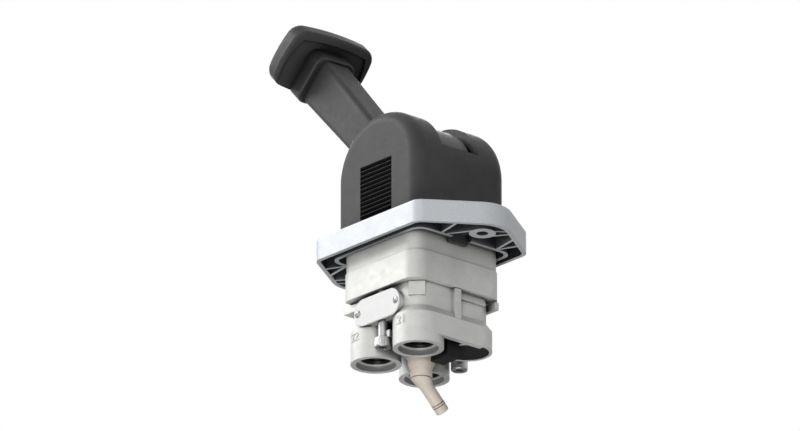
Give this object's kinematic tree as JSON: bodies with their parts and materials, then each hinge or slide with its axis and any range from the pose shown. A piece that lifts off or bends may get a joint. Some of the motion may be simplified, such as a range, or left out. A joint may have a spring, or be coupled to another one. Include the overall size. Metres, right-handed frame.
{
  "type": "parking brake valve",
  "caption": "Dashboard hand control valve: a T-handle lever on a domed cover, a hexagonal skirted flange and a cast port block with threaded ports and an exhaust elbow.",
  "frame": {"origin": "centre of the flange's rim plane, on the valve axis, where it seats on the panel", "axes": "+Z to the lever side, +X the way the lever swings over, +Y across the lever"},
  "size_m": [0.1525, 0.0742, 0.2227],
  "materials": {
    "flange_casting": "satin silver paint over die-cast alloy",
    "cover_plastic": "fine grained black moulding",
    "housing_casting": "cast and blasted",
    "block_casting": "cast and blasted, ports machined",
    "gasket_fibre": "matt",
    "screw_steel": "zinc plated",
    "plate_white": "satin white",
    "rivet_steel": "bright",
    "elbow_plastic": "beige moulding",
    "insert_plastic": "matt black moulding",
    "bush_bronze": "sintered",
    "turned_steel": "turned",
    "spring_steel": "drawn wire",
    "drum_plastic": "smooth black moulding",
    "handle_plastic": "fine grained black moulding",
    "seal_rubber": "smooth",
    "piston_alloy": "turned",
    "turned_brass": "turned"
  },
  "bodies": {
    "valve": {"mounting_flange": "flange_casting", "cover": "cover_plastic", "upper_housing": "housing_casting", "port_block": "block_casting", "body_gasket": "gasket_fibre", "body_screws": "screw_steel", "flange_screws": "screw_steel", "label_plate": "plate_white", "plate_rivets": "rivet_steel", "exhaust_elbow": "elbow_plastic", "silencer_insert": "insert_plastic", "axle_bushes": "bush_bronze", "plunger_seal": "seal_rubber", "stem_seal": "seal_rubber", "valve_seat": "turned_brass", "graduating_spring": "spring_steel", "return_spring": "spring_steel", "inlet_spring": "spring_steel"},
    "lever": {"axle": "turned_steel", "axle_clips": "spring_steel", "cam": "turned_steel", "lever_drum": "drum_plastic", "lever_core": "turned_steel", "latch_spring": "spring_steel"},
    "grip": {"handle": "handle_plastic", "latch_rod": "turned_steel", "latch_pin": "turned_steel"},
    "plunger_group": {"plunger": "turned_steel"},
    "piston_group": {"balance_piston": "piston_alloy", "piston_seal": "seal_rubber"},
    "inlet_group": {"inlet_valve": "turned_brass", "inlet_seal": "seal_rubber"}
  },
  "joints": [
    {"name": "lever_swing", "type": "hinge", "parent": "valve", "child": "lever", "pos_m": [0, 0, 0.0397], "axis": [0, 1, 0], "range_deg": [0, 73], "stiffness_Nm_per_rad": 0.3, "springref_deg": -17.19},
    {"name": "handle_pull", "type": "slide", "parent": "lever", "child": "grip", "axis": [-0.6884, 0, 0.7254], "range_m": [0, 0.004], "stiffness_N_per_m": 1200, "springref_m": -0.003, "deforming": ["latch_spring"]},
    {"name": "plunger_travel", "type": "slide", "parent": "valve", "child": "plunger_group", "axis": [0, 0, 1], "range_m": [0, 0.004], "deforming": ["graduating_spring"]},
    {"name": "piston_travel", "type": "slide", "parent": "valve", "child": "piston_group", "axis": [0, 0, 1], "range_m": [0, 0.0016], "deforming": ["return_spring"]},
    {"name": "inlet_travel", "type": "slide", "parent": "valve", "child": "inlet_group", "axis": [0, 0, 1], "range_m": [0, 0.001], "deforming": ["inlet_spring"]}
  ],
  "couplings": [
    {"joint": "plunger_travel", "follows": "lever_swing", "m_per_rad": 0.003139},
    {"joint": "piston_travel", "follows": "lever_swing", "m_per_rad": 0.001255},
    {"joint": "inlet_travel", "follows": "lever_swing", "m_per_rad": 0.000784}
  ]
}
